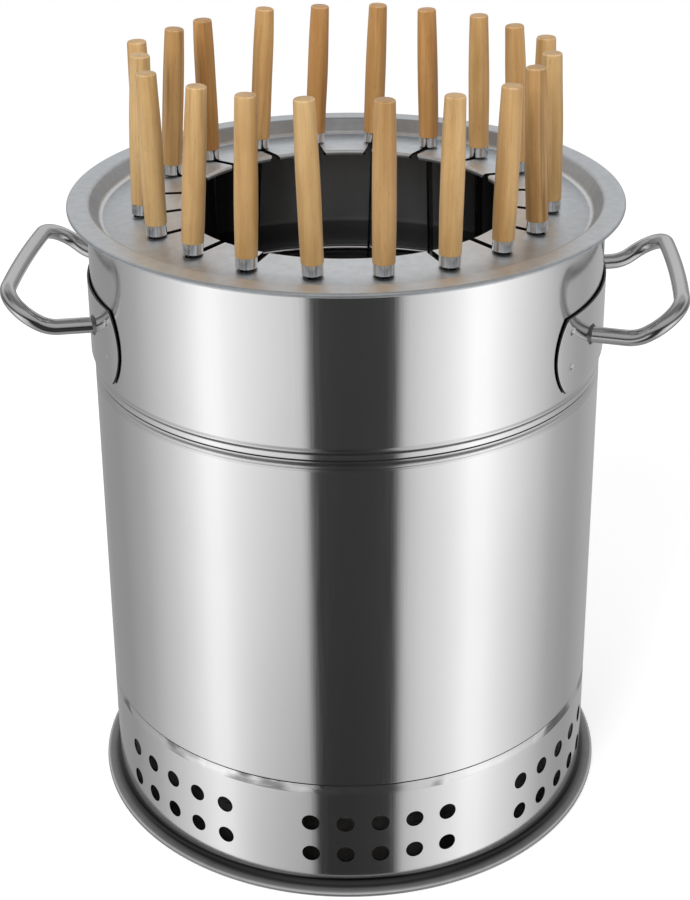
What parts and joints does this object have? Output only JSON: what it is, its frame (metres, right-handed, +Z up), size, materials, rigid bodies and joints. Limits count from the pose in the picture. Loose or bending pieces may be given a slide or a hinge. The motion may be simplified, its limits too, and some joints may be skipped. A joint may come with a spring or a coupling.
{
  "type": "vertical charcoal grill",
  "caption": "Round steel tabletop grill with a vented base, loop handles and a slotted top ring from which wooden-handled skewers hang down round a charcoal basket.",
  "frame": {"origin": "middle of the foot, on the table", "axes": "+Z up along the barrel, +X to the right-hand handle, -Y to the front"},
  "size_m": [0.4876, 0.4, 0.5817],
  "materials": {
    "polished_steel": "polished",
    "satin_steel": "satin",
    "bright_steel": "bright",
    "dark_steel": "heat-darkened",
    "beech": "turned, oiled"
  },
  "bodies": {
    "barrel": {"base_ring": "polished_steel", "lower_shell": "polished_steel", "upper_shell": "polished_steel", "bracket_right": "polished_steel", "bracket_left": "polished_steel", "handle_right": "polished_steel", "handle_left": "polished_steel", "handle_welds": "satin_steel", "floor_plate": "satin_steel"},
    "ring": {"skewer_ring": "satin_steel"},
    "grate": {"fire_grate": "dark_steel"},
    "basket": {"charcoal_basket": "dark_steel"},
    "pan": {"ash_pan": "satin_steel"},
    "skewer_01": {"skewer_handle_01": "beech", "skewer_steel_01": "bright_steel"},
    "skewer_02": {"skewer_handle_02": "beech", "skewer_steel_02": "bright_steel"},
    "skewer_03": {"skewer_handle_03": "beech", "skewer_steel_03": "bright_steel"},
    "skewer_04": {"skewer_handle_04": "beech", "skewer_steel_04": "bright_steel"},
    "skewer_05": {"skewer_handle_05": "beech", "skewer_steel_05": "bright_steel"},
    "skewer_06": {"skewer_handle_06": "beech", "skewer_steel_06": "bright_steel"},
    "skewer_07": {"skewer_handle_07": "beech", "skewer_steel_07": "bright_steel"},
    "skewer_08": {"skewer_handle_08": "beech", "skewer_steel_08": "bright_steel"},
    "skewer_09": {"skewer_handle_09": "beech", "skewer_steel_09": "bright_steel"},
    "skewer_10": {"skewer_handle_10": "beech", "skewer_steel_10": "bright_steel"},
    "skewer_11": {"skewer_handle_11": "beech", "skewer_steel_11": "bright_steel"},
    "skewer_12": {"skewer_handle_12": "beech", "skewer_steel_12": "bright_steel"},
    "skewer_13": {"skewer_handle_13": "beech", "skewer_steel_13": "bright_steel"},
    "skewer_14": {"skewer_handle_14": "beech", "skewer_steel_14": "bright_steel"},
    "skewer_15": {"skewer_handle_15": "beech", "skewer_steel_15": "bright_steel"},
    "skewer_16": {"skewer_handle_16": "beech", "skewer_steel_16": "bright_steel"},
    "skewer_17": {"skewer_handle_17": "beech", "skewer_steel_17": "bright_steel"},
    "skewer_18": {"skewer_handle_18": "beech", "skewer_steel_18": "bright_steel"},
    "skewer_19": {"skewer_handle_19": "beech", "skewer_steel_19": "bright_steel"},
    "skewer_20": {"skewer_handle_20": "beech", "skewer_steel_20": "bright_steel"}
  },
  "joints": [
    {"name": "ring_lift", "type": "slide", "parent": "barrel", "child": "ring", "axis": [0, 0, 1], "range_m": [0, 0.33]},
    {"name": "grate_lift", "type": "slide", "parent": "barrel", "child": "grate", "axis": [0, 0, 1], "range_m": [0, 0.02]},
    {"name": "basket_lift", "type": "slide", "parent": "grate", "child": "basket", "axis": [0, 0, 1], "range_m": [0, 0.37]},
    {"name": "ash_pan_lift", "type": "slide", "parent": "barrel", "child": "pan", "axis": [0, 0, 1], "range_m": [0, 0.05]},
    {"name": "skewer_01_lift", "type": "slide", "parent": "ring", "child": "skewer_01", "axis": [0.0052, 0, 1], "range_m": [0, 0.32]},
    {"name": "skewer_02_lift", "type": "slide", "parent": "ring", "child": "skewer_02", "axis": [0.0157, 0, 0.9999], "range_m": [0, 0.32]},
    {"name": "skewer_03_lift", "type": "slide", "parent": "ring", "child": "skewer_03", "axis": [0.0279, 0, 0.9996], "range_m": [0, 0.32]},
    {"name": "skewer_04_lift", "type": "slide", "parent": "ring", "child": "skewer_04", "axis": [-0.0384, 0, 0.9993], "range_m": [0, 0.32]},
    {"name": "skewer_05_lift", "type": "slide", "parent": "ring", "child": "skewer_05", "axis": [-0.0244, 0, 0.9997], "range_m": [0, 0.32]},
    {"name": "skewer_06_lift", "type": "slide", "parent": "ring", "child": "skewer_06", "axis": [-0.0175, 0, 0.9998], "range_m": [0, 0.32]},
    {"name": "skewer_07_lift", "type": "slide", "parent": "ring", "child": "skewer_07", "axis": [-0.0541, 0, 0.9985], "range_m": [0, 0.32]},
    {"name": "skewer_08_lift", "type": "slide", "parent": "ring", "child": "skewer_08", "axis": [-0.0192, 0, 0.9998], "range_m": [0, 0.32]},
    {"name": "skewer_09_lift", "type": "slide", "parent": "ring", "child": "skewer_09", "axis": [-0.0262, 0, 0.9997], "range_m": [0, 0.32]},
    {"name": "skewer_10_lift", "type": "slide", "parent": "ring", "child": "skewer_10", "axis": [0.0366, 0, 0.9993], "range_m": [0, 0.32]},
    {"name": "skewer_11_lift", "type": "slide", "parent": "ring", "child": "skewer_11", "axis": [0.0471, 0, 0.9989], "range_m": [0, 0.32]},
    {"name": "skewer_12_lift", "type": "slide", "parent": "ring", "child": "skewer_12", "axis": [0.061, 0, 0.9981], "range_m": [0, 0.32]},
    {"name": "skewer_13_lift", "type": "slide", "parent": "ring", "child": "skewer_13", "axis": [-0.0209, 0, 0.9998], "range_m": [0, 0.32]},
    {"name": "skewer_14_lift", "type": "slide", "parent": "ring", "child": "skewer_14", "axis": [0.061, 0, 0.9981], "range_m": [0, 0.32]},
    {"name": "skewer_15_lift", "type": "slide", "parent": "ring", "child": "skewer_15", "axis": [-0.0209, 0, 0.9998], "range_m": [0, 0.32]},
    {"name": "skewer_16_lift", "type": "slide", "parent": "ring", "child": "skewer_16", "axis": [0.0366, 0, 0.9993], "range_m": [0, 0.32]},
    {"name": "skewer_17_lift", "type": "slide", "parent": "ring", "child": "skewer_17", "axis": [-0.0157, 0, 0.9999], "range_m": [0, 0.32]},
    {"name": "skewer_18_lift", "type": "slide", "parent": "ring", "child": "skewer_18", "axis": [0.061, 0, 0.9981], "range_m": [0, 0.32]},
    {"name": "skewer_19_lift", "type": "slide", "parent": "ring", "child": "skewer_19", "axis": [0.0227, 0, 0.9997], "range_m": [0, 0.32]},
    {"name": "skewer_20_lift", "type": "slide", "parent": "ring", "child": "skewer_20", "axis": [-0.0349, 0, 0.9994], "range_m": [0, 0.32]}
  ]
}
